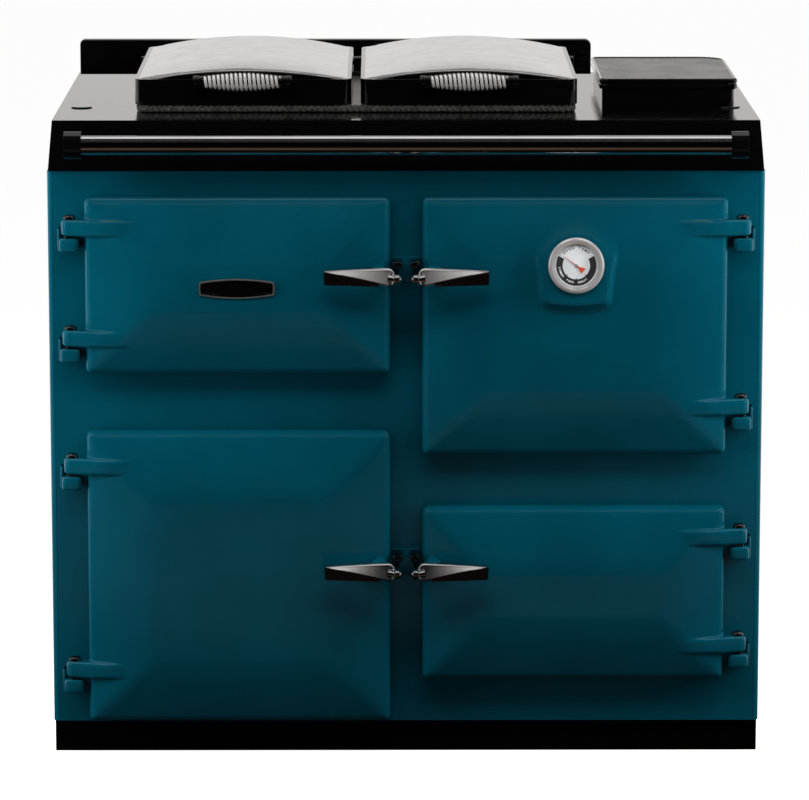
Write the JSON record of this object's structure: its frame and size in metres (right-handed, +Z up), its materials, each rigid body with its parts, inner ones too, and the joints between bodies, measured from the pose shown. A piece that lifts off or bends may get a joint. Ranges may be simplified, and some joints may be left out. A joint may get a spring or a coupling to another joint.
{
  "type": "range cooker",
  "caption": "Cast iron range cooker with ovens, firebox and burner space behind crowned doors, a lidded hotplate, handrail and covered control box.",
  "frame": {"origin": "on the floor, at the middle of the bounding box seen from above", "axes": "+X to the right seen from the front, +Y to the back, +Z up; the front faces -Y"},
  "size_m": [1, 0.724, 0.9692],
  "materials": {
    "teal_enamel": "gloss vitreous enamel",
    "teal_enamel_iron": "gloss vitreous enamel on cast iron",
    "black_enamel": "gloss vitreous enamel",
    "black_enamel_iron": "gloss vitreous enamel on cast iron",
    "machined_iron": "machined",
    "oven_iron": "as cast",
    "burner_casting": "die cast",
    "plain_steel": "satin",
    "polished_steel": "polished",
    "chrome": "polished",
    "brass": "satin",
    "insulated_panel": "steel-faced insulation",
    "mineral_wool": "matt",
    "rope": "braided glass rope",
    "glass": "clear",
    "red_paint": "satin",
    "red_plastic": "gloss",
    "black_plastic": "satin"
  },
  "bodies": {
    "cooker_body": {"plinth": "black_enamel", "base_frame": "black_enamel", "levelling_feet": "plain_steel", "front_plate": "teal_enamel", "side_panels": "teal_enamel", "back_panel": "plain_steel", "top_plate": "black_enamel_iron", "upstand": "black_enamel", "hotplate": "machined_iron", "rope_seals": "rope", "insulation": "mineral_wool", "blanking_plugs": "black_enamel", "main_oven": "oven_iron", "lower_oven": "oven_iron", "oven_shelves": "plain_steel", "firebox": "oven_iron", "firebox_crown": "oven_iron", "burner": "burner_casting", "flue_duct": "oven_iron", "flue_box": "oven_iron", "flue_socket": "oven_iron", "water_connections": "brass", "service_inlets": "brass", "hinge_brackets": "teal_enamel_iron", "hinge_pins": "chrome", "door_catches": "chrome", "handrail": "chrome", "rail_brackets": "black_enamel", "lid_hinges": "black_enamel_iron", "control_housing": "black_enamel"},
    "firebox_door_body": {"firebox_door": "teal_enamel_iron", "firebox_door_liner": "insulated_panel", "door_plaque": "black_enamel"},
    "main_oven_door_body": {"main_oven_door": "teal_enamel_iron", "main_oven_door_liner": "insulated_panel", "thermometer_case": "chrome", "thermometer_glass": "glass"},
    "burner_door_body": {"burner_door": "teal_enamel_iron", "burner_door_liner": "insulated_panel"},
    "lower_oven_door_body": {"lower_oven_door": "teal_enamel_iron", "lower_oven_door_liner": "insulated_panel"},
    "firebox_lever": {"firebox_door_handle": "chrome"},
    "main_oven_lever": {"main_oven_door_handle": "chrome"},
    "burner_lever": {"burner_door_handle": "chrome"},
    "lower_oven_lever": {"lower_oven_door_handle": "chrome"},
    "pointer": {"thermometer_pointer": "red_paint"},
    "left_lid": {"lid_frame_left": "black_enamel_iron", "lid_dome_left": "polished_steel", "lid_liner_left": "insulated_panel", "lid_grip_left": "chrome", "lid_coil_left": "chrome"},
    "right_lid": {"lid_frame_right": "black_enamel_iron", "lid_dome_right": "polished_steel", "lid_liner_right": "insulated_panel", "lid_grip_right": "chrome", "lid_coil_right": "chrome"},
    "cover": {"control_cover": "black_enamel"},
    "front_knob": {"knob_front": "black_plastic"},
    "rear_knob": {"knob_rear": "black_plastic"},
    "rocker": {"power_switch": "red_plastic"}
  },
  "joints": [
    {"name": "firebox_door_hinge", "type": "hinge", "parent": "cooker_body", "child": "firebox_door_body", "pos_m": [-0.4675, -0.292, 0.65], "axis": [0, 0, -1], "range_deg": [0, 105]},
    {"name": "main_oven_door_hinge", "type": "hinge", "parent": "cooker_body", "child": "main_oven_door_body", "pos_m": [0.4675, -0.292, 0.65], "axis": [0, 0, 1], "range_deg": [0, 105]},
    {"name": "burner_door_hinge", "type": "hinge", "parent": "cooker_body", "child": "burner_door_body", "pos_m": [-0.4675, -0.292, 0.25], "axis": [0, 0, -1], "range_deg": [0, 105]},
    {"name": "lower_oven_door_hinge", "type": "hinge", "parent": "cooker_body", "child": "lower_oven_door_body", "pos_m": [0.4675, -0.292, 0.25], "axis": [0, 0, 1], "range_deg": [0, 105]},
    {"name": "firebox_lever_pivot", "type": "hinge", "parent": "firebox_door_body", "child": "firebox_lever", "pos_m": [-0.038, -0.35, 0.697], "axis": [0, 1, 0], "range_deg": [0, 30]},
    {"name": "main_oven_lever_pivot", "type": "hinge", "parent": "main_oven_door_body", "child": "main_oven_lever", "pos_m": [0.038, -0.35, 0.697], "axis": [0, -1, 0], "range_deg": [0, 30]},
    {"name": "burner_lever_pivot", "type": "hinge", "parent": "burner_door_body", "child": "burner_lever", "pos_m": [-0.038, -0.35, 0.281], "axis": [0, 1, 0], "range_deg": [0, 30]},
    {"name": "lower_oven_lever_pivot", "type": "hinge", "parent": "lower_oven_door_body", "child": "lower_oven_lever", "pos_m": [0.038, -0.35, 0.281], "axis": [0, -1, 0], "range_deg": [0, 30]},
    {"name": "pointer_spindle", "type": "hinge", "parent": "main_oven_door_body", "child": "pointer", "pos_m": [0.235, -0.328, 0.71], "axis": [0, 0.9903, -0.1392], "range_deg": [0, 240], "stiffness_Nm_per_rad": 0.001},
    {"name": "left_lid_hinge", "type": "hinge", "parent": "cooker_body", "child": "left_lid", "pos_m": [-0.229, 0.293, 0.925], "axis": [-1, 0, 0], "range_deg": [0, 75]},
    {"name": "right_lid_hinge", "type": "hinge", "parent": "cooker_body", "child": "right_lid", "pos_m": [0.089, 0.293, 0.925], "axis": [-1, 0, 0], "range_deg": [0, 75]},
    {"name": "control_cover_hinge", "type": "hinge", "parent": "cooker_body", "child": "cover", "pos_m": [0.3755, 0.221, 0.93], "axis": [-1, 0, 0], "range_deg": [0, 80]},
    {"name": "front_knob_spindle", "type": "hinge", "parent": "cooker_body", "child": "front_knob", "pos_m": [0.3755, -0.005, 0.88], "axis": [0, 0, -1], "range_deg": [0, 270]},
    {"name": "rear_knob_spindle", "type": "hinge", "parent": "cooker_body", "child": "rear_knob", "pos_m": [0.3755, 0.065, 0.88], "axis": [0, 0, -1], "range_deg": [0, 270]},
    {"name": "power_switch_pivot", "type": "hinge", "parent": "cooker_body", "child": "rocker", "pos_m": [0.3755, 0.133, 0.878], "axis": [1, 0, 0], "range_deg": [0, 12]}
  ]
}
